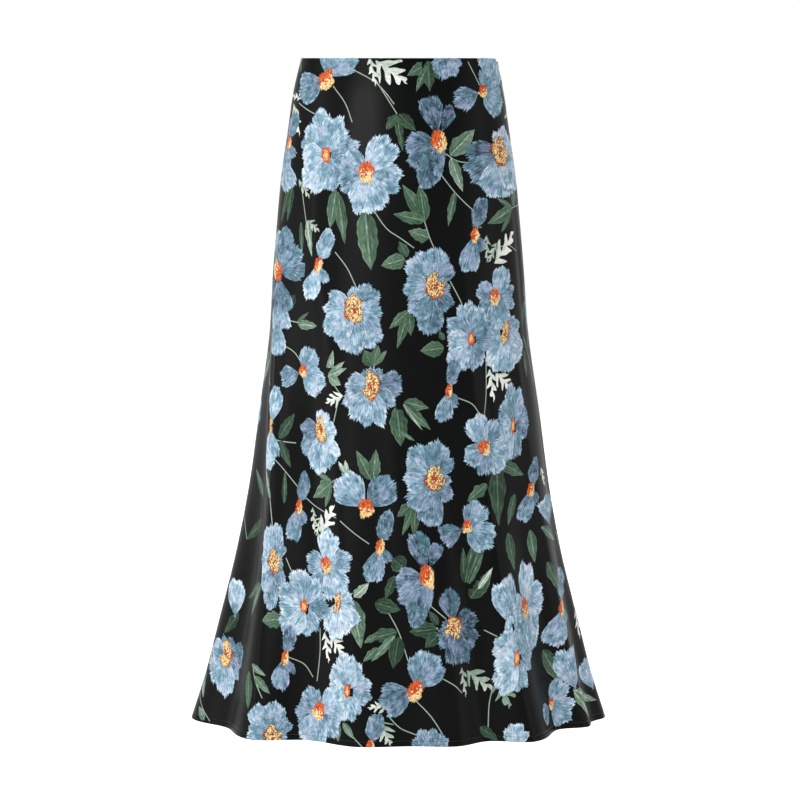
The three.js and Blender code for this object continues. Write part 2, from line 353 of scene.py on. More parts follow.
# The print's flower drawings, in mm on the flat cloth: a centre, or None, and petals.
# The centre has its width, height, tilt, kind and the way its yellow side or its notch points.
# A petal is a fan: the way it points, clockwise from up, how far from the flower's middle it
# starts, its length, half its spread in degrees, and its tone from 0, dark slate, to 1, light
# blue. Later petals lie on top.
BALL, RING, BEAD = 0, 1, 2
DRAWINGS = {
    "cup": ((27, 33, 0, RING, 40), [
        (188, 0, 60, 30, 0.44), (218, 0, 47, 38, 0.50), (322, 0, 48, 42, 0.62),
        (2, 0, 47, 40, 0.56), (36, 0, 34, 40, 0.46), (95, 0, 19, 62, 0.48),
        (148, 0, 33, 42, 0.44), (268, 0, 39, 46, 0.62),
    ]),
    "broad_cup": ((27, 42, -8, RING, 60), [
        (45, 0, 40, 46, 0.48), (10, 0, 30, 46, 0.56), (100, 0, 38, 50, 0.60),
        (150, 0, 56, 42, 0.54), (185, 0, 58, 40, 0.60), (276, 0, 42, 56, 0.66),
        (226, 0, 52, 46, 0.66),
    ]),
    "leaning_cup": ((27, 38, 10, RING, 285), [
        (40, 0, 26, 50, 0.42), (84, 8, 36, 52, 0.32), (135, 0, 40, 44, 0.46),
        (345, 0, 23, 60, 0.50), (218, 0, 50, 46, 0.58), (268, 0, 36, 56, 0.58),
        (178, 0, 54, 44, 0.64),
    ]),
    "tall_cup": ((26, 36, -4, RING, 55), [
        (262, 2, 36, 52, 0.26), (95, 0, 30, 56, 0.74), (222, 0, 47, 42, 0.42),
        (12, 0, 27, 60, 0.76), (185, 0, 57, 42, 0.66), (150, 0, 52, 42, 0.76),
    ]),
    "shaded_cup": ((25, 31, 12, RING, 205), [
        (352, 8, 40, 40, 0.30), (70, 0, 34, 50, 0.22), (275, 0, 17, 62, 0.44),
        (122, 0, 38, 46, 0.26), (225, 0, 28, 46, 0.38), (168, 0, 48, 42, 0.32),
    ]),
    "open": ((22, 27, 0, BALL, 190), [
        (235, 0, 38, 52, 0.42), (305, 0, 36, 52, 0.52), (105, 0, 46, 46, 0.52),
        (38, 0, 51, 44, 0.68), (176, 0, 52, 54, 0.62),
    ]),
    "daisy": ((13, 21, 0, BEAD, 0), [
        (84, 0, 46, 54, 0.46), (165, 0, 44, 50, 0.54), (350, 0, 56, 30, 0.62),
        (20, 0, 50, 42, 0.60), (310, 0, 46, 48, 0.56), (215, 0, 51, 48, 0.68),
        (264, 0, 39, 52, 0.70),
    ]),
    "ribbon": ((14, 32, 14, RING, 275), [
        (20, 0, 24, 60, 0.64), (75, 0, 28, 64, 0.58), (140, 0, 44, 52, 0.62),
        (190, 0, 50, 54, 0.70),
    ]),
    "trio": ((13, 17, 0, BALL, 165), [
        (250, 7, 32, 50, 0.42), (32, 0, 34, 56, 0.56), (124, 0, 40, 56, 0.60),
    ]),
    "nodding": ((20, 30, -12, BALL, 120), [
        (346, 8, 50, 31, 0.32), (20, 12, 32, 30, 0.28), (258, 4, 38, 54, 0.40),
        (222, 2, 46, 40, 0.42), (197, 2, 60, 24, 0.40),
    ]),
    "rising": ((20, 29, 22, BALL, 150), [
        (250, 4, 44, 54, 0.40), (28, 5, 47, 62, 0.50),
    ]),
    "crown": ((20, 24, 0, BALL, 180), [
        (44, 3, 45, 48, 0.42), (316, 3, 48, 50, 0.64),
    ]),
    "bud": ((12, 22, 8, BALL, 120), [
        (150, 0, 24, 38, 0.36), (14, 9, 38, 27, 0.40), (194, 0, 47, 33, 0.52),
    ]),
    "slender": ((11, 26, 0, RING, 90), [
        (6, 2, 46, 30, 0.56), (186, 2, 54, 32, 0.60), (170, 2, 40, 30, 0.50),
    ]),
    "fringe": (None, [
        (140, -6, 30, 48, 0.42), (215, -6, 30, 48, 0.44), (178, -6, 33, 48, 0.46),
    ]),
    "petal": (None, [
        (0, 0, 42, 40, 0.54),
    ]),
}

# Flowers: drawing, place of the middle in the photograph's pixels, turn, size, how far
# it is squeezed from side to side, and how much lighter it is than its drawing
FLOWERS = [
    ("fringe", 447, 58, 0, 1.0, 1, 0.08), ("rising", 326, 80, 0, 0.95, 1.2, 0.14),
    ("trio", 483, 91, 0, 1.0, 1.2, 0.06), ("petal", 287, 160, 176, 0.9, 1.7, 0.1),
    ("bud", 289, 143, 0, 0.85, 1.6, 0.12), ("daisy", 326, 155, 0, 1.0, 1, 0.14),
    ("open", 366, 172, 0, 1.0, 1, 0.16), ("nodding", 439, 141, 0, 1.0, 1, 0),
    ("tall_cup", 501, 151, 0, 1.05, 1.55, 0.04), ("bud", 475, 235, 0, 1.0, 1, 0.04),
    ("bud", 318, 265, 8, 1.0, 1.0, 0.3), ("petal", 279, 296, 176, 1.1, 1.3, 0.16),
    ("petal", 277, 322, 180, 1.0, 1.3, 0.18),
    ("petal", 280, 262, 350, 0.9, 1.8, 0.04), ("nodding", 277, 270, 180, 0.9, 1.6, 0.1),
    ("cup", 435, 286, 0, 1.0, 1, 0.04), ("broad_cup", 354, 309, 0, 0.94, 1, 0.08),
    ("petal", 500, 354, 10, 1.0, 1.1, 0.12),
    ("ribbon", 505, 333, 0, 1.0, 1.1, 0.16), ("open", 495, 297, 350, 0.8, 1, 0.08),
    ("daisy", 471, 339, 0, 0.84, 0.95, 0.06), ("trio", 303, 371, 0, 0.95, 1, 0.14),
    ("leaning_cup", 371, 386, 0, 0.94, 0.94, 0.08), ("bud", 449, 391, 0, 0.84, 0.9, 0.1),
    ("slender", 271, 426, 2, 1.0, 1.15, 0.26),
    ("daisy", 513, 426, 0, 0.95, 0.66, 0.06), ("open", 485, 448, 300, 0.88, 0.9, 0.08),
    ("tall_cup", 321, 430, 0, 0.95, 0.85, 0.08), ("cup", 435, 479, 0, 1.0, 1, 0.04),
    ("bud", 531, 490, 0, 0.85, 1.2, 0.06), ("petal", 549, 524, 356, 0.9, 2.0, 0.16),
    ("bud", 299, 507, 4, 0.95, 0.75, 0.06), ("crown", 366, 508, 0, 1.0, 1, 0.06),
    ("trio", 467, 527, 0, 1.0, 1, 0.06), ("bud", 380, 547, 0, 0.94, 1, 0.06),
    ("cup", 274, 561, 0, 1.0, 0.62, 0.14), ("nodding", 427, 577, 0, 1.0, 0.95, 0.04),
    ("petal", 235, 616, 357, 1.1, 1.2, 0.24), ("ribbon", 337, 603, 0, 0.9, 0.9, 0.2),
    ("open", 326, 565, 330, 0.88, 0.95, 0.16), ("daisy", 304, 606, 0, 0.82, 1, 0.14),
    ("bud", 562, 607, 0, 1.0, 1.5, 0.12),
    ("petal", 512, 626, 348, 1.5, 0.85, 0.2), ("shaded_cup", 454, 628, 0, 1.0, 1, 0.02),
    ("petal", 519, 650, 75, 1.0, 0.75, 0.18), ("petal", 517, 640, 30, 1.0, 0.7, 0.18),
    ("daisy", 517, 658, 0, 0.95, 0.8, 0.18), ("open", 525, 608, 330, 1.1, 0.8, 0.2),
    ("petal", 575, 688, 350, 1.3, 1.3, 0.2), ("petal", 593, 688, 345, 1.0, 1.4, 0.24),
    ("bud", 285, 658, 0, 0.9, 0.85, 0.06), ("leaning_cup", 226, 654, 0, 0.95, 0.95, 0.08),
    ("rising", 415, 691, 0, 1.0, 0.95, 0.06), ("daisy", 347, 691, 0, 0.85, 0.8, 0.2),
    ("open", 319, 711, 20, 0.9, 0.95, 0.1), ("trio", 551, 704, 0, 0.95, 1, 0.1),
    ("fringe", 515, 744, 180, 1.0, 0.75, 0.34), ("cup", 273, 736, 0, 0.9, 1, 0.1),
    ("bud", 370, 748, 0, 0.95, 1, 0.1), ("fringe", 430, 752, 180, 1.1, 1, 0.1),
]

# Leaves: pixels of the foot and the tip, half the width in pixels, and the tone from
# 0, dark green, to 1, off-white
LEAVES = [
    (427, 64, 407, 76, 6, 0.42), (428, 61, 440, 80, 5, 0.30), (428, 61, 430, 92, 6, 0.32),
    (427, 66, 416, 92, 4, 0.42), (483, 57, 488, 66, 2, 0.40),
    (397, 115, 386, 130, 5, 0.35), (397, 116, 403, 152, 4, 0.32), (399, 114, 416, 131, 6, 0.28),
    (450, 155, 475, 129, 9, 0.56), (451, 158, 463, 192, 6, 0.62), (455, 192, 448, 227, 4, 0.46),
    (425, 220, 402, 184, 7, 0.42), (425, 221, 419, 184, 7, 0.40), (425, 221, 393, 214, 6, 0.46),
    (429, 238, 408, 231, 7, 0.50), (365, 211, 371, 271, 11, 0.45),
    (336, 190, 330, 229, 7, 0.46), (338, 192, 345, 245, 6, 0.42),
    (301, 222, 302, 256, 3, 0.36), (307, 222, 312, 257, 5, 0.70),
    (290, 184, 281, 224, 5, 0.25), (293, 184, 287, 222, 5, 0.28),
    (405, 259, 381, 266, 8, 0.50), (407, 257, 399, 241, 5, 0.36),
    (512, 208, 496, 198, 3, 0.46), (512, 208, 487, 224, 7, 0.46), (511, 211, 501, 233, 4, 0.42),
    (409, 311, 389, 329, 5, 0.44), (409, 312, 397, 349, 5, 0.40), (409, 312, 411, 336, 5, 0.40),
    (444, 348, 420, 351, 8, 0.44), (444, 340, 439, 331, 3, 0.40),
    (527, 322, 528, 350, 5, 0.30), (524, 350, 527, 378, 4, 0.36),
    (295, 295, 286, 314, 5, 0.20), (298, 324, 317, 326, 5, 0.60), (297, 322, 309, 312, 2, 0.40),
    (328, 376, 333, 350, 4, 0.66), (328, 376, 345, 361, 3, 0.66), (328, 376, 347, 368, 3.5, 0.66),
    (329, 377, 341, 385, 5, 0.66),
    (372, 366, 364, 350, 7, 0.38), (373, 366, 378, 345, 6, 0.46), (374, 365, 387, 350, 3.5, 0.5),
    (397, 407, 401, 447, 9, 0.38), (404, 402, 429, 408, 6, 0.46), (404, 404, 431, 430, 5, 0.44),
    (403, 404, 423, 431, 2, 0.62), (398, 430, 415, 441, 2.5, 0.5),
    (279, 438, 295, 413, 6, 0.28), (280, 440, 291, 468, 5, 0.30),
    (270, 498, 266, 466, 4, 0.66), (263, 497, 256, 468, 5, 0.42), (284, 503, 285, 470, 3, 0.34),
    (331, 481, 317, 474, 3, 0.52), (332, 482, 313, 498, 8, 0.50), (331, 484, 325, 508, 4, 0.46),
    (346, 475, 338, 461, 2.5, 0.8), (347, 473, 345, 460, 2.5, 0.8),
    (262, 520, 246, 540, 6, 0.24), (261, 584, 248, 598, 5, 0.34), (261, 586, 251, 616, 5, 0.50),
    (281, 619, 262, 621, 9, 0.50), (239, 614, 224, 633, 6, 0.22), (249, 671, 248, 710, 7, 0.40),
    (252, 664, 266, 676, 3.5, 0.6), (255, 676, 270, 694, 4.5, 0.55), (204, 720, 199, 706, 5, 0.6),
    (371, 480, 356, 450, 6, 0.46), (373, 480, 376, 449, 6, 0.46),
    (414, 503, 397, 517, 6, 0.40), (415, 504, 402, 536, 4, 0.42), (416, 504, 414, 537, 5, 0.38),
    (393, 559, 407, 570, 9, 0.28), (395, 576, 385, 600, 5, 0.28), (354, 597, 369, 583, 5, 0.74),
    (470, 598, 492, 571, 9, 0.32), (478, 589, 493, 567, 3, 0.78), (464, 583, 463, 547, 4, 0.32),
    (465, 583, 475, 536, 4, 0.36), (467, 583, 487, 527, 4.5, 0.34),
    (375, 603, 401, 610, 8, 0.30), (397, 632, 366, 640, 7, 0.36), (395, 636, 371, 662, 4.5, 0.54),
    (399, 637, 393, 669, 8, 0.24), (437, 629, 409, 632, 8, 0.28), (438, 625, 429, 611, 4, 0.30),
    (440, 633, 425, 648, 7, 0.28), (353, 600, 361, 649, 9, 0.54), (376, 636, 364, 643, 3.5, 0.5),
    (378, 648, 363, 662, 4, 0.5), (338, 723, 338, 742, 4, 0.55), (343, 723, 354, 739, 4, 0.6),
    (497, 460, 499, 527, 12, 0.28), (500, 462, 524, 475, 7, 0.40), (487, 484, 467, 502, 6, 0.44),
    (515, 494, 508, 526, 6, 0.40), (469, 584, 484, 550, 3.5, 0.40), (508, 533, 515, 571, 8, 0.38),
    (530, 530, 535, 563, 6, 0.46), (541, 527, 555, 540, 5, 0.5), (547, 562, 560, 593, 7, 0.4),
    (543, 650, 560, 681, 8, 0.40), (573, 690, 597, 700, 5, 0.64), (574, 692, 590, 719, 5, 0.64),
    (480, 727, 498, 740, 5, 0.30),
]

# Lobed sprigs, with the same columns
SPRIGS = [
    (370, 58, 376, 87, 3.5, 0.95), (376, 60, 408, 84, 11, 0.95), (294, 103, 300, 137, 6, 0.95),
    (303, 98, 291, 95, 3, 0.95), (509, 113, 504, 118, 2, 0.95), (299, 179, 310, 199, 4, 0.85),
    (307, 220, 320, 232, 4.5, 0.85), (487, 235, 487, 264, 3, 0.85), (497, 243, 488, 263, 4, 0.85),
    (494, 263, 514, 230, 9, 1.0), (343, 396, 325, 403, 5.5, 1.0), (490, 369, 494, 403, 4.5, 1.0),
    (496, 373, 512, 390, 7, 1.0), (313, 507, 315, 535, 2.5, 0.9), (321, 517, 316, 536, 4, 0.9),
    (320, 536, 335, 504, 8, 1.0), (541, 467, 545, 487, 4, 1.0),
    (325, 632, 329, 664, 4.5, 1.0), (331, 636, 345, 657, 6, 1.0), (389, 706, 367, 708, 5, 0.95),
    (380, 723, 391, 746, 8, 0.88), (462, 667, 466, 698, 3.5, 0.86), (467, 670, 494, 691, 8, 0.84),
    (500, 676, 510, 709, 9, 0.74),
]

# Stems: pixels along each
STEMS = [
    [(348, 67), (372, 80), (385, 92), (394, 104)], [(375, 79), (385, 95), (397, 114)],
    [(333, 86), (345, 103), (352, 122)], [(299, 103), (311, 112), (327, 119)],
    [(468, 62), (478, 82)], [(446, 154), (457, 161), (470, 163)],
    [(436, 168), (452, 189), (464, 202), (475, 212)], [(424, 220), (429, 236), (434, 248)],
    [(372, 208), (386, 228), (400, 238), (414, 248)], [(302, 190), (306, 221)],
    [(335, 252), (347, 268), (356, 287)], [(450, 281), (460, 300), (465, 313)],
    [(287, 320), (300, 323)], [(284, 345), (294, 352), (301, 362)], [(328, 376), (338, 391)],
    [(338, 402), (334, 420)], [(374, 350), (374, 367)], [(458, 398), (472, 404), (480, 415)],
    [(486, 361), (486, 395), (484, 418)], [(270, 437), (280, 441), (296, 443)],
    [(272, 456), (285, 471), (298, 487)], [(270, 498), (272, 522)],
    [(306, 498), (318, 508), (336, 518)], [(286, 558), (291, 570), (298, 584)],
    [(340, 521), (355, 534), (369, 544)], [(332, 482), (346, 475)],
    [(424, 600), (434, 609), (446, 619)], [(484, 630), (492, 634)],
    [(388, 612), (399, 633), (408, 661)], [(415, 700), (432, 718), (447, 742)],
    [(388, 716), (400, 728), (416, 735)], [(443, 679), (455, 686), (462, 693)],
    [(492, 690), (489, 705), (488, 730)], [(320, 628), (320, 652), (317, 681)],
    [(288, 657), (304, 664), (313, 677)], [(253, 669), (255, 680), (262, 698)],
    [(343, 724), (352, 736), (363, 748)], [(424, 624), (437, 629), (424, 635)],
    [(512, 208), (519, 203)], [(500, 247), (508, 245), (516, 251)],
]
STEM_TONE = 0.78

# The print repeats by these steps on the flat cloth, so its hidden parts follow the chart
REPEAT_STEPS = (np.array([198, 320]), np.array([0, 640]))
REPEAT_AREA = (-99, 99, 130, 770)  # first and last place across, then down, in mm
BACK_SHIFT = np.array([66, 150])
CLEARANCE = {"flower": 34, "leaf": 12, "stem": 12}  # least distance between repeats in mm
CHART_CLEARANCE = {"flower": 66, "leaf": 24, "stem": 20}  # and from repeats to the chart
REPEAT_COUNTS = range(-3, 4)  # steps tried each way
FLOWER_SEED, PETAL_SEED, CENTRE_SEED, LEAF_SEED = 3.7, 1.3, 2.9, 1.7  # from one to the next
LINE_STEPS = 4  # points between two of a stem's own


def heading(turn):
    """Direction on the flat cloth, across and down, of a turn clockwise from up."""
    return np.array([math.sin(math.radians(turn)), -math.cos(math.radians(turn))])


def flower_figure(index, drawing, place, turn, size, squeeze, lighter):
    """A flower's petals and centre at a place on the flat cloth."""
    centre, rows = DRAWINGS[drawing]
    petals = []
    for number, (way, start, length, spread, tone) in enumerate(rows):
        foot = place + heading(way + turn) * start * size * (squeeze, 1)
        seed = index * FLOWER_SEED + number * PETAL_SEED
        form = (length * size, math.radians(spread), tone + lighter, seed)
        petals.append((*foot, way + turn, squeeze, *form))
    centres = []
    if centre:
        width, height, tilt, kind, side = centre
        radii = (height * size / 2, width * size / 2)
        form = (*radii, kind, math.radians(side - tilt), index * CENTRE_SEED)
        centres.append((*place, tilt + turn, squeeze, *form))
    return {"kind": "flower", "place": place, "petals": petals, "centres": centres}


def leaf_figure(index, foot, tip, half_width, tone, lobed):
    """A leaf, or a sprig where lobed is 1, between two places on the flat cloth."""
    span = tip - foot
    length = np.hypot(*span)
    turn = math.degrees(math.atan2(span[0], -span[1]))
    form = (length, half_width * MM_PER_PIXEL / length, tone, lobed, index * LEAF_SEED)
    leaf = (*foot, turn, 1, *form)
    return {"kind": "leaf", "place": (foot + tip) / 2, "leaves": [leaf]}


def stem_figure(points):
    return {"kind": "stem", "place": points.mean(axis=0), "stems": [smooth_line(points)]}


def smooth_line(points):
    """A line through the points, rounded between them."""
    if len(points) < 3:
        return points
    ends = [2 * points[0] - points[1], *points, 2 * points[-1] - points[-2]]
    made = []
    for before, first, last, after in zip(ends, ends[1:], ends[2:], ends[3:]):
        for t in np.arange(LINE_STEPS) / LINE_STEPS:
            bend = 2 * before - 5 * first + 4 * last - after
            turn = 3 * first - before - 3 * last + after
            made.append((2 * first + (last - before) * t + bend * t**2 + turn * t**3) / 2)
    return np.array([*made, points[-1]])


def charted_figures(photo):
    """Every motif of the chart, at its place on the flat cloth."""
    figures = [stem_figure(np.array([photo.cloth(x, y) for x, y in line])) for line in STEMS]
    for lobed, rows in enumerate((LEAVES, SPRIGS)):
        for index, (x, y, tip_x, tip_y, half_width, tone) in enumerate(rows):
            foot, tip = photo.cloth(x, y), photo.cloth(tip_x, tip_y)
            figures.append(leaf_figure(index, foot, tip, half_width, tone, lobed))
    for index, (drawing, x, y, *form) in enumerate(FLOWERS):
        figures.append(flower_figure(index, drawing, photo.cloth(x, y), *form))
    return figures


def moved(figure, shift):
    """A copy of a figure, moved on the flat cloth."""
    copy = dict(figure, place=figure["place"] + shift)
    across, down = shift
    for part in ("petals", "centres", "leaves"):
        copy[part] = [(x + across, y + down, *form) for x, y, *form in figure.get(part, [])]
    copy["stems"] = [line + shift for line in figure.get("stems", [])]
    return copy


def repeated_figures(charted, shift, wanted, kept):
    """Repeats of one tile of the chart, where they are wanted and stand clear of each other."""
    left, right, top, foot = REPEAT_AREA
    tile = [f for f in charted if left <= f["place"][0] < right and top <= f["place"][1] < foot]
    taken = {kind: [] for kind in CLEARANCE}
    charted_places = {kind: [f["place"] for f in kept if f["kind"] == kind] for kind in CLEARANCE}
    steps = [REPEAT_STEPS[0] * sideways + REPEAT_STEPS[1] * downward + shift
             for sideways in REPEAT_COUNTS for downward in REPEAT_COUNTS]
    made = []
    for step in steps:
        for figure in tile:
            place, kind = figure["place"] + step, figure["kind"]
            clear = wanted(place) and gap_to(place, charted_places[kind]) >= CHART_CLEARANCE[kind]
            if clear and gap_to(place, taken[kind]) > CLEARANCE[kind]:
                made.append(moved(figure, step))
                taken[kind].append(place)
    return made


def gap_to(place, others):
    """Distance to the nearest of the other places."""
    if not others:
        return math.inf
    return np.hypot(*(np.array(others) - place).T).min()


# The print on the panels: each face keeps this many motifs that may cover it, topmost first
SLOTS = {"petal": 4, "centre": 1, "leaf": 3, "stem": 2}
FAR_AWAY = 9.0  # place of an empty slot, well past any motif's rim
HALF_WAY = 0.5  # form of an empty slot
FACE_REACH = 6  # mm from a face's middle to anything in it
PETAL_REACH, PETAL_SURE = 1.3, 0.72  # shares of its smooth outline that the ragged rim keeps to
CENTRE_REACH = 2.0


def local_places(corners, row, unit_length):
    """Places in a motif's own frame: along the way it points and to its side."""
    along = heading(row[2])
    offset = (corners - np.array(row[:2])) / (row[3], 1)
    x = offset @ along
    y = offset @ np.array([-along[1], along[0]])
    return x / unit_length, y / unit_length


def triples(x, y, value):
    """Rows of x, y and one more value."""
    return np.stack([x, y, np.full_like(x, value)], axis=-1)


OVAL_SPREAD = 0.5  # petals that spread less are ovals instead of fans
OVAL_WIDTH = 0.62
RIM_POWER = 2.4  # a fan's rim: higher is squarer
RIM_ROOT = 0.44
LEAST_RIM = 0.02


def petal_cover(x, y, spread):
    """Below 1 inside a petal's smooth outline."""
    if spread < OVAL_SPREAD:
        return np.hypot(2 * x - 1, y / (spread * OVAL_WIDTH))
    reach = np.hypot(x, y)
    share = np.clip(np.abs(np.arctan2(y, x)) / spread, 0, 1)
    rim = np.clip(1 - share**RIM_POWER, 0, 1) ** RIM_ROOT
    return reach / np.maximum(rim, LEAST_RIM)


def petal_on(corners, row):
    """Places in a petal, its form, and where it may lie and surely lies on the corners."""
    length, spread, tone, seed = row[4:]
    x, y = local_places(corners, row, length)
    cover = petal_cover(x, y, spread)
    maybe = (cover < PETAL_REACH) | (np.hypot(x, y) < FACE_REACH / length)
    return triples(x, y, seed), (spread, tone, length), maybe, cover < PETAL_SURE


def centre_on(corners, row):
    """The same for a flower's centre, which hides nothing for sure."""
    half_height, half_width, kind, side, seed = row[4:]
    x, y = local_places(corners, row, 1)
    x, y = x / half_height, y / half_width
    maybe = np.hypot(x, y) < CENTRE_REACH
    return triples(x, y, seed), (kind, side, half_height), maybe, np.zeros(x.shape, bool)


LEAF_FOOT, LEAF_TIP = 0.7, 1.1  # how a leaf narrows to its foot and tip: higher is sharper
LEAF_FULLNESS = 3.33  # brings a leaf's widest place to its half width
LOBE_REACH = 1.3  # how much wider than a leaf a sprig may be


def leaf_reach(along, half_width):
    """Half the width of a leaf, at shares of its length, as numbers or in a shader."""
    return LEAF_FULLNESS * along**LEAF_FOOT * (1 - along) ** LEAF_TIP * half_width


def leaf_on(corners, row):
    """The same for a leaf or a sprig."""
    length, half_width, tone, lobed, seed = row[4:]
    x, y = local_places(corners, row, length)
    slack = FACE_REACH / length
    reach = leaf_reach(np.clip(x, 0, 1), half_width) * (LOBE_REACH if lobed else 1)
    maybe = (np.abs(y) < reach + slack) & (x > -slack) & (x < 1 + slack)
    surely = (np.abs(y) < reach * 0.6) & (x > 0.1) & (x < 0.9) & (lobed == 0)
    return triples(x, y, seed), (half_width, tone, lobed), maybe, surely


# Kinds of motif: the part of a figure with its rows, the function that places a row on corners,
# and how far it reaches from its foot or middle, as a share of its length
MOTIFS = {
    "petal": ("petals", petal_on, 1.3),
    "centre": ("centres", centre_on, 1.5),
    "leaf": ("leaves", leaf_on, 1.1),
}


def face_middles(corners):
    """Where the faces' middles lie across and down the flat cloth."""
    return np.ascontiguousarray(corners.mean(axis=1).T)


def faces_near(middles, place, reach):
    """The faces whose middles lie within reach of a place on the flat cloth."""
    across, down = middles
    return np.flatnonzero((across - place[0]) ** 2 + (down - place[1]) ** 2 < reach**2)


def fill_slots(kind, figures, corners):
    """The places and forms of the motifs on each face's corners, for each slot."""
    part, motif_on, reach = MOTIFS[kind]
    rows = [row for figure in figures for row in figure.get(part, [])]
    middles = face_middles(corners)
    places = np.full((SLOTS[kind], *corners.shape[:2], 3), FAR_AWAY)
    forms = np.full_like(places, HALF_WAY)
    taken = np.zeros(len(corners), int)
    closed = np.zeros(len(corners), bool)
    for row in reversed(rows):
        near = faces_near(middles, row[:2], row[4] * reach + FACE_REACH)
        near = near[~closed[near] & (taken[near] < SLOTS[kind])]
        place, form, maybe, surely = motif_on(corners[near], row)
        hit = maybe.any(axis=1)
        faces = near[hit]
        places[taken[faces], faces] = place[hit]
        forms[taken[faces], faces] = form
        taken[faces] += 1
        closed[near[surely.all(axis=1)]] = True
    return places, forms


def fill_stems(figures, corners):
    """Each face's distance to the side of a stem, past its ends, and the stem's tone."""
    middles = face_middles(corners)
    places = np.full((SLOTS["stem"], *corners.shape[:2], 3), FAR_AWAY)
    taken = np.zeros(len(corners), int)
    for line in [line for figure in figures for line in figure.get("stems", [])]:
        middle = (line[0] + line[-1]) / 2
        faces = faces_near(middles, middle, np.hypot(*(line - middle).T).max() + FACE_REACH)
        faces = faces[taken[faces] < SLOTS["stem"]]
        starts, spans = line[:-1], np.diff(line, axis=0)
        lengths = np.hypot(*spans.T)
        ways = spans / lengths[:, None]
        offset = middles.T[faces][:, None] - starts[None]
        along = np.clip((offset * ways).sum(axis=-1), 0, lengths)
        gaps = np.linalg.norm(offset - along[..., None] * ways, axis=-1)
        close = gaps.min(axis=1) < FACE_REACH
        closest, faces = gaps.argmin(axis=1)[close], faces[close]
        way = ways[closest][:, None]
        offset = corners[faces] - starts[closest][:, None]
        aside = offset[..., 0] * way[..., 1] - offset[..., 1] * way[..., 0]
        before = -((corners[faces] - line[0]) @ ways[0])
        after = (corners[faces] - line[-1]) @ ways[-1]
        past = np.where(closest[:, None] < len(ways) / 2, before, after)
        places[taken[faces], faces] = triples(aside, past, STEM_TONE)
        taken[faces] += 1
    return places


def grid_quads(rows, columns):
    """Corner indices of a grid's faces, facing out."""
    row, column = np.meshgrid(np.arange(rows - 1), np.arange(columns - 1), indexing="ij")
    first = (row * columns + column).ravel()
    return np.stack([first, first + columns, first + columns + 1, first + 1], axis=1)


def print_attributes(panel, figures):
    """The print's values on the corners of the panel's faces, by attribute name."""
    flat = np.stack([panel.across, panel.down], axis=-1).reshape(-1, 2)
    corners = flat[grid_quads(*panel.across.shape)]
    made = {}
    for kind in MOTIFS:
        places, forms = fill_slots(kind, figures, corners)
        for slot in range(SLOTS[kind]):
            made[f"{kind}_place_{slot}"] = places[slot]
            made[f"{kind}_form_{slot}"] = forms[slot]
    for slot, places in enumerate(fill_stems(figures, corners)):
        made[f"stem_place_{slot}"] = places
    made["cloth_place"] = np.concatenate([corners, np.zeros((*corners.shape[:2], 1))], axis=-1)
    return made


# Meshes
def linked_object(name, data):
    made = bpy.data.objects.new(name, data)
    bpy.context.scene.collection.objects.link(made)
    return made


def mesh_object(name, points, faces, *materials):
    """A smooth mesh object from points in mm and lists of vertex indices."""
    mesh = bpy.data.meshes.new(name)
    mesh.from_pydata((np.asarray(points) * MM).tolist(), [], faces)
    mesh.validate()
    mesh.polygons.foreach_set("use_smooth", np.ones(len(faces), bool))
    for material in materials:
        mesh.materials.append(material)
    return linked_object(name, mesh)


def edge_quads(outer_loop, inner_loop):
    """Faces between two equal rows of vertex indices."""
    pairs = (outer_loop[:-1], inner_loop[:-1], inner_loop[1:], outer_loop[1:])
    return np.stack(pairs, axis=1)


def panel_object(name, panel, figures, *materials):
    """A panel as a thin closed shell with the print's attributes on both faces."""
    rows, columns = panel.drop.shape
    outer = panel.outer().reshape(-1, 3)
    inner = panel.inner().reshape(-1, 3)
    index = np.arange(rows * columns).reshape(rows, columns)
    inside = index + rows * columns
    outer_faces = grid_quads(rows, columns)
    rims = [
        edge_quads(inside[0], index[0]),
        edge_quads(index[-1], inside[-1]),
        edge_quads(index[:, 0], inside[:, 0]),
        edge_quads(inside[:, -1], index[:, -1]),
    ]
    faces = np.concatenate([outer_faces, outer_faces[:, ::-1] + rows * columns, *rims])
    made = mesh_object(name, np.concatenate([outer, inner]), faces.tolist(), *materials)
    count = len(outer_faces)
    on_back = np.zeros(len(faces), np.int32)
    on_back[count : 2 * count] = 1
    made.data.polygons.foreach_set("material_index", on_back)
    for attribute, values in print_attributes(panel, figures).items():
        rim = np.full((len(faces) - 2 * count, 4, 3), FAR_AWAY)
        whole = np.concatenate([values, values[:, ::-1], rim]).astype(np.float32)
        layer = made.data.attributes.new(attribute, "FLOAT_VECTOR", "CORNER")
        layer.data.foreach_set("vector", whole.ravel())
    return made


# Shader building
def arithmetic(operation, swapped=False):
    """A Number's method that adds a Math node, with the Number second where swapped."""
    def method(self, other):
        values = (other, self) if swapped else (self, other)
        return math_node(self.tree, operation, *values)
    return method


class Number:
    """A number in a shader. Plain arithmetic on it adds Math nodes to its tree."""

    def __init__(self, tree, socket):
        self.tree = tree
        self.socket = socket

    __add__ = __radd__ = arithmetic("ADD")
    __sub__ = arithmetic("SUBTRACT")
    __rsub__ = arithmetic("SUBTRACT", swapped=True)
    __mul__ = __rmul__ = arithmetic("MULTIPLY")
    __truediv__ = arithmetic("DIVIDE")
    __pow__ = arithmetic("POWER")

    def __abs__(self):
        return math_node(self.tree, "ABSOLUTE", self)


def feed(tree, socket, value):
    """Links or sets a socket from a Number, another socket or a plain value."""
    if isinstance(value, Number):
        tree.links.new(value.socket, socket)
    elif isinstance(value, bpy.types.NodeSocket):
        tree.links.new(value, socket)
    else:
        socket.default_value = value


def feed_all(tree, node, values):
    """Feeds the sockets of a node that have these names or numbers."""
    for socket, value in values.items():
        feed(tree, node.inputs[socket], value)


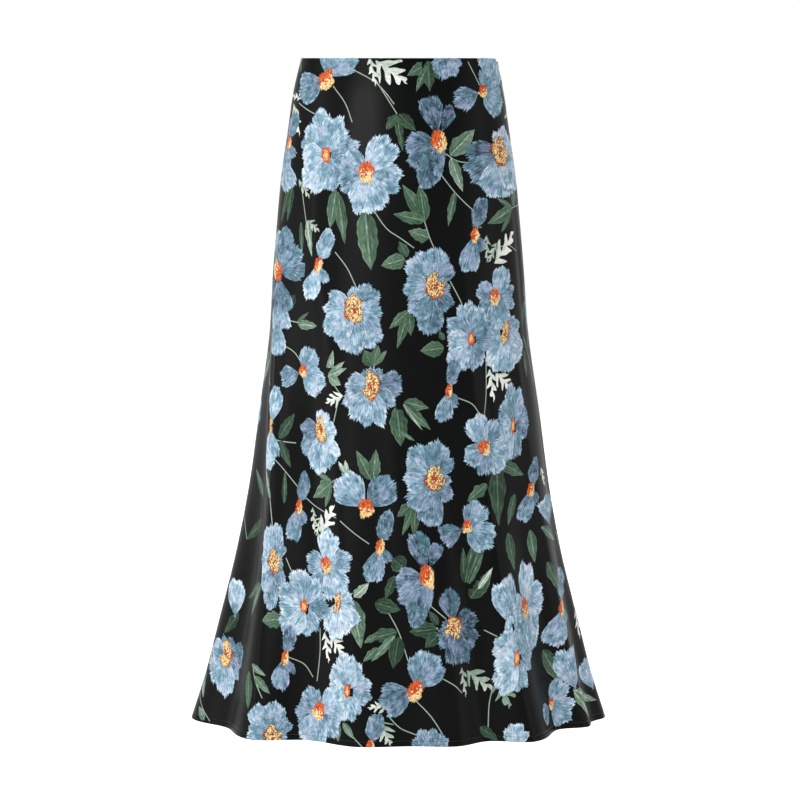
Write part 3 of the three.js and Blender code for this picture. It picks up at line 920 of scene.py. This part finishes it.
def math_node(tree, operation, *values):
    node = tree.nodes.new("ShaderNodeMath")
    node.operation = operation
    feed_all(tree, node, dict(enumerate(values)))
    return Number(tree, node.outputs[0])


def rise(value, low, high):
    """0 at low, 1 at high, and smooth between them."""
    node = value.tree.nodes.new("ShaderNodeMapRange")
    node.interpolation_type = "SMOOTHSTEP"
    feed_all(value.tree, node, {"Value": value, "From Min": low, "From Max": high})
    return Number(value.tree, node.outputs[0])


def between(value, low=0.0, high=1.0):
    return math_node(value.tree, "MINIMUM", math_node(value.tree, "MAXIMUM", value, low), high)


def vector(tree, x, y, z):
    node = tree.nodes.new("ShaderNodeCombineXYZ")
    feed_all(tree, node, {"X": x, "Y": y, "Z": z})
    return node.outputs[0]


def parts(tree, socket):
    """The three numbers of a vector or a colour."""
    colour = socket.type == "RGBA"
    node = tree.nodes.new("ShaderNodeSeparateColor" if colour else "ShaderNodeSeparateXYZ")
    tree.links.new(socket, node.inputs[0])
    return [Number(tree, output) for output in node.outputs]


def noise(tree, place, scale=1.0, detail=0.0):
    """Smooth noise about 1/scale wide."""
    node = tree.nodes.new("ShaderNodeTexNoise")
    feed_all(tree, node, {"Vector": place, "Scale": scale, "Detail": detail})
    return Number(tree, node.outputs[0])


def line_noise(number, detail=0.0):
    """Smooth noise along one number, from -0.5 to 0.5."""
    node = number.tree.nodes.new("ShaderNodeTexNoise")
    node.noise_dimensions = "1D"
    feed_all(number.tree, node, {"W": number, "Scale": 1, "Detail": detail})
    return Number(number.tree, node.outputs[0]) - 0.5


def spots(tree, place, scale):
    """Scattered dots about 1/scale apart: distance to the nearest, and a number of its own."""
    node = tree.nodes.new("ShaderNodeTexVoronoi")
    feed_all(tree, node, {"Vector": place, "Scale": scale})
    return Number(tree, node.outputs["Distance"]), parts(tree, node.outputs["Color"])[0]


LIGHT_LEVEL = 1.4  # how much light falls on the front of the skirt
MIX_SHARE, MIX_FIRST, MIX_SECOND, MIX_RESULT = 0, 6, 7, 2  # a Mix node's sockets for colours


def paint(red, green, blue):
    """A colour that shows as these 0 to 255 values in the studio's light."""
    values = [channel / 255 for channel in (red, green, blue)]
    linear = [v / 12.92 if v <= 0.04045 else ((v + 0.055) / 1.055) ** 2.4 for v in values]
    return (*[v / LIGHT_LEVEL for v in linear], 1.0)


def mixed(tree, share, first, second):
    """The first colour, with a share of the second."""
    node = tree.nodes.new("ShaderNodeMix")
    node.data_type = "RGBA"
    feed_all(tree, node, {MIX_SHARE: share, MIX_FIRST: first, MIX_SECOND: second})
    return node.outputs[MIX_RESULT]


def ramp(number, stops):
    """A colour read off a scale of stops, each a position and a colour."""
    node = number.tree.nodes.new("ShaderNodeValToRGB")
    feed(number.tree, node.inputs[0], number)
    points = node.color_ramp.elements
    while len(points) < len(stops):
        points.new(0.5)
    for point, (position, colour) in zip(points, stops):
        point.position = position
        point.color = colour
    return node.outputs[0]


MOTIF_INPUTS = ("Place", "Form", "Under")


def motif_group(name):
    """A motif's node group. Its sockets are all colours, which need no conversion."""
    tree = bpy.data.node_groups.new(name, "ShaderNodeTree")
    for label in MOTIF_INPUTS:
        tree.interface.new_socket(label, in_out="INPUT", socket_type="NodeSocketColor")
    tree.interface.new_socket("Color", in_out="OUTPUT", socket_type="NodeSocketColor")
    source = tree.nodes.new("NodeGroupInput")
    sink = tree.nodes.new("NodeGroupOutput")
    return tree, [source.outputs[label] for label in MOTIF_INPUTS], sink.inputs["Color"]


PETAL_TONES = (
    (0.0, paint(34, 46, 58)),
    (0.22, paint(70, 91, 108)),
    (0.45, paint(110, 137, 156)),
    (0.68, paint(150, 179, 199)),
    (1.0, paint(222, 238, 246)),
)
PETAL_LIGHT = paint(214, 234, 246)
PETAL_DARK = paint(46, 66, 96)
PETAL_VIOLET = paint(128, 128, 162)
PETAL_TEAL = paint(108, 156, 170)

# The bumps of a petal's rim: lobes per radian, and scallops and teeth per mm with their depths
LOBES = 2.4
SCALLOPS, SCALLOP_DEPTH = 0.08, 8
TEETH, TOOTH_DEPTH = 0.5, 9

# A petal's strokes: how fine they are, per mm, and how much tone they add
STREAKS_ACROSS, STREAKS_ALONG, STREAK_DEPTH = 0.36, 0.11, 0.95
WASHES, WASH_DEPTH = 0.06, 0.95
MOTTLES, MOTTLE_DEPTH = 0.2, 0.8
BLOTS = 0.071
FLECKS = 0.45
PETAL_DARKER = 0.11  # brings the strokes' tones to the drawing's on average


def petal_group():
    """A broad petal with a ragged rim, washed, streaked and flecked with other tones."""
    tree, (place, form, under), result = motif_group("Petal")
    x, y, seed = parts(tree, place)
    spread, tone, length = parts(tree, form)
    reach = math_node(tree, "SQRT", x * x + y * y)
    angle = math_node(tree, "ARCTAN2", y, x)
    around = angle * length
    fan = vector(tree, around * STREAKS_ACROSS, reach * length * STREAKS_ALONG, seed * 7)
    spot = vector(tree, x * length, y * length, seed * 37)
    lobes = line_noise(angle * LOBES + seed * 7)
    scallops = line_noise(around * SCALLOPS + seed * 13)
    teeth = line_noise(around * TEETH + reach * 2 + seed * 3, detail=2.0)
    ragged = (scallops * SCALLOP_DEPTH + teeth * TOOTH_DEPTH) / length
    share = between(abs(angle) / spread)
    rim = (1 - share**RIM_POWER) ** RIM_ROOT * (0.95 + lobes * 0.12) + ragged
    fan_depth = reach / between(rim, LEAST_RIM, 2.0)
    oval_x, oval_y = x * 2 - 1, y / (spread * OVAL_WIDTH)
    oval_reach = math_node(tree, "SQRT", oval_x * oval_x + oval_y * oval_y)
    oval_depth = oval_reach / (0.96 + lobes * 0.3 + ragged * 1.4)
    oval = rise(spread, OVAL_SPREAD + 0.01, OVAL_SPREAD - 0.01)
    depth = fan_depth + (oval_depth - fan_depth) * oval
    wash = noise(tree, spot, WASHES, detail=1.0)
    blots = noise(tree, spot, BLOTS, detail=1.0)
    shade = tone - PETAL_DARKER + (noise(tree, fan, 1, detail=2.5) - 0.5) * STREAK_DEPTH
    shade = shade + (wash - 0.5) * WASH_DEPTH
    shade = shade + (noise(tree, spot, MOTTLES, detail=3.5) - 0.5) * MOTTLE_DEPTH
    shade = shade + rise(depth, 0.84, 0.98) * 0.16 - rise(depth, 0.5, 0.1) * 0.12
    colour = ramp(shade, PETAL_TONES)
    colour = mixed(tree, rise(wash, 0.52, 0.68) * 0.42, colour, PETAL_VIOLET)
    colour = mixed(tree, rise(wash, 0.46, 0.32) * 0.36, colour, PETAL_TEAL)
    dashes = rise(noise(tree, fan, 1.6, detail=1.0), 0.58, 0.66) * rise(blots, 0.44, 0.58)
    colour = mixed(tree, dashes * 0.6, colour, PETAL_DARK)
    dot, own = spots(tree, spot, FLECKS)
    dots = rise(dot + own * 0.3, 0.44, 0.24) * rise(blots, 0.55, 0.42)
    dot_colour = mixed(tree, rise(own, 0.4, 0.5), PETAL_LIGHT, PETAL_DARK)
    colour = mixed(tree, dots * 0.5, colour, dot_colour)
    behind = mixed(tree, rise(depth, 1.08, 1.0) * 0.4, under, paint(0, 0, 0))
    tree.links.new(mixed(tree, rise(depth, 1.015, 0.995), behind, colour), result)
    return tree


GRAINS = 0.5  # dots of a flower's centre, per mm
CENTRE_HOT = (paint(178, 58, 30), paint(236, 122, 62))
CENTRE_CREAM = (paint(236, 192, 112), paint(252, 232, 180))
CENTRE_GAP = paint(104, 36, 16)  # between its dots
CENTRE_RIM = paint(100, 36, 22)


def centre_group():
    """A flower's centre: a ball of dots, a ring with a notch, or a small bead."""
    tree, (place, form, under), result = motif_group("Centre")
    x, y, seed = parts(tree, place)
    kind, side, size = parts(tree, form)
    reach = math_node(tree, "SQRT", x * x + y * y)
    angle = math_node(tree, "ARCTAN2", y, x)
    toward = reach * math_node(tree, "COSINE", angle - side)
    dot, own = spots(tree, vector(tree, x * size, y * size, seed * 20), GRAINS)
    grain = own - 0.5
    uneven = line_noise(angle * 1.3 + seed * 5)
    ragged = reach * (1 + uneven * 0.4) + rise(dot, 0.3, 0.7) * 0.14
    ball = rise(kind, 0.6, 0.4)
    bead = rise(kind, 1.4, 1.6)
    ring = 1 - ball - bead
    notch = rise(toward + uneven, 0.5, 0.58)
    notch = notch * rise(abs(angle_apart(angle, side) + uneven), 0.5, 0.36)
    cream_ball = rise(toward + grain * 0.9, 0.0, 0.3)
    cream_ring = rise(reach + grain * 0.5, 0.12, 0.3)
    cream_ring = cream_ring * rise(reach - toward * 0.22 + grain * 0.2, 1.0, 0.84)
    cream_bead = rise(reach + grain * 0.6, 0.55, 0.3)
    cream = cream_ball * ball + cream_ring * ring + cream_bead * bead
    hot = mixed(tree, own, *CENTRE_HOT)
    pale = mixed(tree, own, *CENTRE_CREAM)
    colour = mixed(tree, cream, hot, pale)
    colour = mixed(tree, rise(dot, 0.44, 0.62) * (0.34 + 0.48 * ring), colour, CENTRE_GAP)
    colour = mixed(tree, rise(ragged, 0.84, 0.98) * (0.3 + 0.6 * ring), colour, CENTRE_RIM)
    cover = rise(ragged, 1.03, 0.97) * (1 - notch * ring)
    tree.links.new(mixed(tree, cover, under, colour), result)
    return tree


def angle_apart(angle, other):
    """The turn between two angles, the short way, below 0 to one side."""
    turns = (angle - other) / (2 * math.pi) + 0.5
    return (turns - math_node(turns.tree, "FLOOR", turns) - 0.5) * (2 * math.pi)


LEAF_TONES = (
    (0.0, paint(26, 38, 32)),
    (0.25, paint(46, 66, 52)),
    (0.5, paint(80, 107, 86)),
    (0.75, paint(134, 158, 140)),
    (1.0, paint(240, 241, 234)),
)
LEAF_VEINS = 2.4  # lengthwise veins in half a leaf
SPRIG_LOBES = 3.2  # along a sprig, to each side


def leaf_group():
    """A pointed leaf with a midrib and side veins, or a lobed sprig."""
    tree, (place, form, under), result = motif_group("Leaf")
    x, y, seed = parts(tree, place)
    half_width, tone, lobed = parts(tree, form)
    inside = between(x, 0.0001, 0.9999)
    side = abs(y)
    ripple = line_noise(x * 5 + seed * 3)
    slanted = x - side * 0.9 + ripple * 0.12
    tooth = math_node(tree, "FRACT", slanted * SPRIG_LOBES + rise(y, 0, 0.001) * 0.45)
    lobe = 0.12 + rise(tooth, 0.06, 0.66) - rise(tooth, 0.7, 1.0)
    width = leaf_reach(inside, half_width) * (1 + ripple * 0.4)
    width = width * (1 - lobed + lobed * lobe * LOBE_REACH)
    gap = (width - side) / half_width
    cover = rise(gap, 0.0, 0.05) * rise(abs(x - 0.5), 0.5, 0.49)
    stroke = noise(tree, vector(tree, slanted * 9, y * 20, seed * 5), detail=1.5)
    shade = tone - 0.05 + (stroke - 0.5) * 0.55 + rise(y, -0.01, 0.01) * 0.05 + (x - 0.5) * 0.12
    lane = math_node(tree, "FRACT", side / between(width, 0.001, 1) * LEAF_VEINS)
    vein = rise(abs(lane - 0.5), 0.36, 0.5)
    midrib = rise(side, 0.024, 0.008) * rise(x, 0.95, 0.6)
    bright_rim = rise(gap, 0.16, 0.03) * rise(y, -0.02, 0.02)
    plain = 1 - lobed
    shade = shade + (midrib * 0.2 + vein * 0.1 + bright_rim * 0.18) * plain
    shade = shade - lobed * rise(stroke, 0.52, 0.7) * 0.2
    tree.links.new(mixed(tree, cover, under, ramp(shade, LEAF_TONES)), result)
    return tree


STEM_HALF_WIDTH = 0.58
STEM_BLUR = 0.15


def stem_group():
    """A thin stem, from the distance to its side and past its end."""
    tree, (place, form, under), result = motif_group("Stem")
    aside, past, tone = parts(tree, place)
    cover = rise(abs(aside), STEM_HALF_WIDTH + STEM_BLUR, STEM_HALF_WIDTH - STEM_BLUR)
    cover = cover * rise(past, 0.3, 0.0)
    shade = tone + aside * 0.12
    tree.links.new(mixed(tree, cover, under, ramp(shade, LEAF_TONES)), result)
    return tree


def attribute_vector(tree, name):
    node = tree.nodes.new("ShaderNodeAttribute")
    node.attribute_type = "GEOMETRY"
    node.attribute_name = name
    return node.outputs["Color"]


GROUND = paint(9, 10, 10)


def print_colour(tree, groups):
    """The whole print: ground, stems, leaves, petals and centres, painted in that order.

    Each attribute is read just before the group that uses it, because the renderer has room
    for few values at a time.
    """
    colour = GROUND
    for kind in ("stem", "leaf", "petal", "centre"):
        for slot in reversed(range(SLOTS[kind])):
            place = attribute_vector(tree, f"{kind}_place_{slot}")
            form = place if kind == "stem" else attribute_vector(tree, f"{kind}_form_{slot}")
            node = tree.nodes.new("ShaderNodeGroup")
            node.node_tree = groups[kind]
            feed_all(tree, node, dict(zip(MOTIF_INPUTS, (place, form, colour))))
            colour = node.outputs["Color"]
    return colour


def new_material(name):
    """A material, its tree and its shader."""
    made = bpy.data.materials.new(name)
    made.use_nodes = True
    return made, made.node_tree, made.node_tree.nodes["Principled BSDF"]


BUMP_DISTANCE = 0.0002
REVERSE_FADE = 0.62  # how much of the print is lost on the wrong side
REVERSE_GREY = paint(52, 52, 56)


def add_bump(tree, shader, height, strength):
    node = tree.nodes.new("ShaderNodeBump")
    feed_all(tree, node, {"Height": height, "Strength": strength, "Distance": BUMP_DISTANCE})
    tree.links.new(node.outputs[0], shader.inputs["Normal"])


def weave_bump(tree, shader, strength):
    """The satin's fine floats, as a faint bump that runs across the cloth."""
    across, down, _ = parts(tree, attribute_vector(tree, "cloth_place"))
    floats = noise(tree, vector(tree, across * 0.7, down * 2.6, 0), detail=2.0)
    slub = noise(tree, vector(tree, across * 0.05, down * 0.05, 3), detail=1.0)
    add_bump(tree, shader, floats + slub, strength)


def satin_material(groups):
    made, tree, shader = new_material("printed_satin")
    colour = print_colour(tree, groups)
    feed_all(tree, shader, {"Base Color": colour, "Roughness": 0.36, "Specular IOR Level": 0.055})
    weave_bump(tree, shader, 0.2)
    return made


def reverse_material(groups):
    """The wrong side of the cloth: the same print, dull and half showing through."""
    made, tree, shader = new_material("satin_reverse")
    colour = mixed(tree, REVERSE_FADE, print_colour(tree, groups), REVERSE_GREY)
    feed_all(tree, shader, {"Base Color": colour, "Roughness": 0.8, "Specular IOR Level": 0.2})
    weave_bump(tree, shader, 0.4)
    return made


def object_place(tree):
    return tree.nodes.new("ShaderNodeTexCoord").outputs["Object"]


def thread_material():
    made, tree, shader = new_material("black_thread")
    twist = noise(tree, object_place(tree), scale=4000)
    colour = ramp(twist, ((0.3, paint(12, 12, 13)), (0.7, paint(34, 34, 37))))
    feed_all(tree, shader, {"Base Color": colour, "Roughness": 0.55})
    return made


def tape_material():
    """Black woven tape with a fine rib."""
    made, tree, shader = new_material("zip_tape")
    rib = math_node(tree, "SINE", parts(tree, object_place(tree))[2] * 7000)
    grain = noise(tree, object_place(tree), scale=1800, detail=1.0)
    colour = ramp(grain + rib * 0.15, ((0.25, paint(14, 14, 15)), (0.85, paint(36, 36, 39))))
    feed_all(tree, shader, {"Base Color": colour, "Roughness": 0.85})
    add_bump(tree, shader, rib + grain, 0.5)
    return made


def enamel_material():
    """Black enamel on metal, a little uneven."""
    made, tree, shader = new_material("black_enamel")
    wear = noise(tree, object_place(tree), scale=500, detail=3.0)
    colour = ramp(wear, ((0.35, paint(20, 20, 22)), (0.75, paint(40, 40, 43))))
    feed_all(tree, shader, {"Base Color": colour, "Roughness": wear * 0.2 + 0.26, "Metallic": 0.3})
    return made


# Sewing and the zip
STITCH_LENGTH = 2.6
STITCH_PITCH = 3.3
STITCH_WIDTH = 0.42
STITCH_THICK = 0.7  # share of its width
HEM_SAMPLES = 4000
COIL_PITCH = 1.6
COIL_FILL = 0.78  # share of the pitch that is wire
COIL_HALF_WIDTH = 2.1
COIL_THICK = 0.9
COIL_SPAN = (8, 190)  # drops of its ends
TAPE_INNER_INSET = 2.3
BAR_PROFILE = ((-0.5, 0.35), (-0.3, 1.0), (0.3, 1.0), (0.5, 0.35))  # place along, and scale
BAR_SECTION = ((-0.5, 0.0), (-0.35, 0.75), (0, 1.0), (0.35, 0.75), (0.5, 0.0))  # across, up


def bars(places, alongs, outs, length, width, height):
    """Many small bars with tapered ends: points and faces."""
    asides = np.cross(outs, alongs)
    points = []
    for share, scale in BAR_PROFILE:
        for across, up in BAR_SECTION:
            offset = alongs * share * length + asides * across * width * scale
            points.append(places + offset + outs * up * height * scale)
    points = np.stack(points, axis=1)
    ring = len(BAR_SECTION)
    last = (len(BAR_PROFILE) - 1) * ring
    faces = []
    for step in range(len(BAR_PROFILE) - 1):
        for side in range(ring):
            first, second = step * ring + side, step * ring + (side + 1) % ring
            faces.append((first, second, second + ring, first + ring))
    starts = np.arange(len(places)) * (last + ring)
    quads = (starts[:, None, None] + np.array(faces)).reshape(-1, 4).tolist()
    caps = []
    for start in starts:
        caps.append(list(range(start, start + ring))[::-1])
        caps.append(list(range(start + last, start + last + ring)))
    return points.reshape(-1, 3), quads + caps


def hem_stitches(name, panel, material):
    """The hem's row of stitches, in its groove."""
    angles = np.linspace(*panel.seams, HEM_SAMPLES)
    line = cloth_points(angles, np.full_like(angles, LENGTH - STITCH_HEIGHT))
    arc = np.concatenate([[0], np.cumsum(np.linalg.norm(np.diff(line, axis=0), axis=1))])
    marks = np.arange(STITCH_PITCH, arc[-1] - STITCH_PITCH, STITCH_PITCH)
    angle = np.interp(marks, arc, angles)
    drop = np.full_like(angle, LENGTH - STITCH_HEIGHT)
    along, _, out, _ = cloth_frame(angle, drop)
    places = cloth_points(angle, drop) - out * STITCH_GROOVE
    size = (STITCH_LENGTH, STITCH_WIDTH, STITCH_WIDTH * STITCH_THICK)
    return mesh_object(name, *bars(places, along, out, *size), material)


def zip_coil(material):
    """The closed coil of the zip, on the tape's inner face."""
    drop = np.arange(*COIL_SPAN, COIL_PITCH)
    angle = np.full_like(drop, LEFT_SEAM)
    along, _, out, _ = cloth_frame(angle, drop)
    places = cloth_points(angle, drop) - out * TAPE_INNER_INSET
    size = (COIL_HALF_WIDTH * 2, COIL_PITCH * COIL_FILL, COIL_THICK)
    return mesh_object("zip_coil", *bars(places, along, -out, *size), material)


def finish_node(name, material, bevel=None):
    """Gives a carried-over node its material and, where asked, softened edges."""
    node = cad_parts[name]
    node.data.materials.clear()
    node.data.materials.append(material)
    if bevel:
        modifier = node.modifiers.new("soft_edges", "BEVEL")
        modifier.width = bevel * MM
        modifier.segments = 3
        modifier.limit_method = "ANGLE"


# Studio
FLOOR_DROP = 1040  # the wearer's floor below the waist
FLOOR_RADIUS = 60000
FLOOR_SIDES = 96
FLOOR_GLOW = 0.16  # keeps the far floor as white as the sky
WHITE = (1, 1, 1, 1)
FLOOR_COLOUR = (0.97, 0.97, 0.97, 1)

# Lights: place, width and height in m, and power in W. Each faces the middle of the skirt.
SKIRT_MIDDLE = Vector((0, 0, -0.42))
SOFTBOXES = {
    "key_softbox": ((-1.8, -3.5, 1.0), (1.1, 1.1), 98),
    "left_softbox": ((-2.6, -0.6, 0.2), (1.0, 2.2), 26),
    "right_softbox": ((2.7, -0.8, 0.1), (1.0, 2.2), 16),
    "back_softbox": ((0.9, 4.0, 1.2), (1.6, 1.6), 80),
}
OVERHEAD_STRENGTH = 1.9
OVERHEAD_SPREAD = math.radians(40)


def add_floor():
    turns = np.arange(FLOOR_SIDES) * 2 * math.pi / FLOOR_SIDES
    depths = np.full_like(turns, -FLOOR_DROP)
    rim = np.stack([FLOOR_RADIUS * np.cos(turns), FLOOR_RADIUS * np.sin(turns), depths], axis=-1)
    material, tree, shader = new_material("pale_floor")
    glow = {"Emission Color": WHITE, "Emission Strength": FLOOR_GLOW}
    feed_all(tree, shader, {"Base Color": FLOOR_COLOUR, "Roughness": 0.9, **glow})
    mesh_object("floor", rim, [list(range(FLOOR_SIDES))], material)


def add_softbox(name, place, size, power):
    data = bpy.data.lights.new(name, "AREA")
    data.shape = "RECTANGLE"
    data.size, data.size_y = size
    data.energy = power
    light = linked_object(name, data)
    light.location = place
    light.rotation_euler = (SKIRT_MIDDLE - Vector(place)).to_track_quat("-Z", "Y").to_euler()


def add_lights():
    for name, form in SOFTBOXES.items():
        add_softbox(name, *form)
    overhead = bpy.data.lights.new("overhead", "SUN")
    overhead.energy = OVERHEAD_STRENGTH
    overhead.angle = OVERHEAD_SPREAD
    linked_object("overhead", overhead)
    add_sky()


SKY = ((0.0, 1.0), (0.54, 1.0), (0.68, 0.3), (1.0, 0.3))  # brightness from below to overhead


def add_sky():
    """A white horizon under a darker ceiling, so that the light comes from the softboxes."""
    world = bpy.data.worlds.new("studio")
    world.use_nodes = True
    tree = world.node_tree
    height = parts(tree, tree.nodes.new("ShaderNodeTexCoord").outputs["Generated"])[2]
    sky = ramp(height * 0.5 + 0.5, [(place, (level, level, level, 1)) for place, level in SKY])
    tree.links.new(sky, tree.nodes["Background"].inputs["Color"])
    bpy.context.scene.world = world


SENSOR_WIDTH = 36


def add_camera():
    data = bpy.data.cameras.new("camera")
    data.sensor_width = SENSOR_WIDTH
    data.lens = SENSOR_WIDTH * FOCAL_PIXELS / IMAGE_SIZE
    data.clip_start = 0.05
    data.clip_end = 200
    camera = linked_object("camera", data)
    camera.location = (CAMERA_SIDE * MM, -CAMERA_DISTANCE * MM, 0)
    camera.rotation_euler = (math.pi / 2 - TILT, 0, 0)
    bpy.context.scene.camera = camera


def on_skirt(piece):
    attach(piece, "skirt")


def print_figures():
    """The motifs of the front panel and of the back panel."""
    photo = PhotoMap(front)
    charted = charted_figures(photo)
    beyond = repeated_figures(charted, np.zeros(2), photo.hides, charted)
    return beyond + charted, repeated_figures(charted, BACK_SHIFT, lambda place: True, [])


def main():
    add_camera()
    add_floor()
    add_lights()
    bpy.context.scene.view_settings.view_transform = "Standard"

    front_figures, back_figures = print_figures()
    groups = {"petal": petal_group(), "centre": centre_group(), "leaf": leaf_group(),
              "stem": stem_group()}
    satin, reverse = satin_material(groups), reverse_material(groups)
    front_cloth = panel_object("front_cloth", front, front_figures, satin, reverse)
    back_cloth = panel_object("back_cloth", back, back_figures, satin, reverse)
    thread = thread_material()
    front_stitches = hem_stitches("front_hem_stitches", front, thread)
    back_stitches = hem_stitches("back_hem_stitches", back, thread)
    tape, enamel = tape_material(), enamel_material()
    coil = zip_coil(tape)
    finish_node("zip_tape", tape)
    finish_node("zip_slider", enamel, bevel=0.25)
    finish_node("zip_pull", enamel, bevel=0.2)

    for piece in (front_cloth, back_cloth, front_stitches, back_stitches):
        on_skirt(piece)
    on_skirt(coil)
    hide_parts("front_panel")
    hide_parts("back_panel")


main()
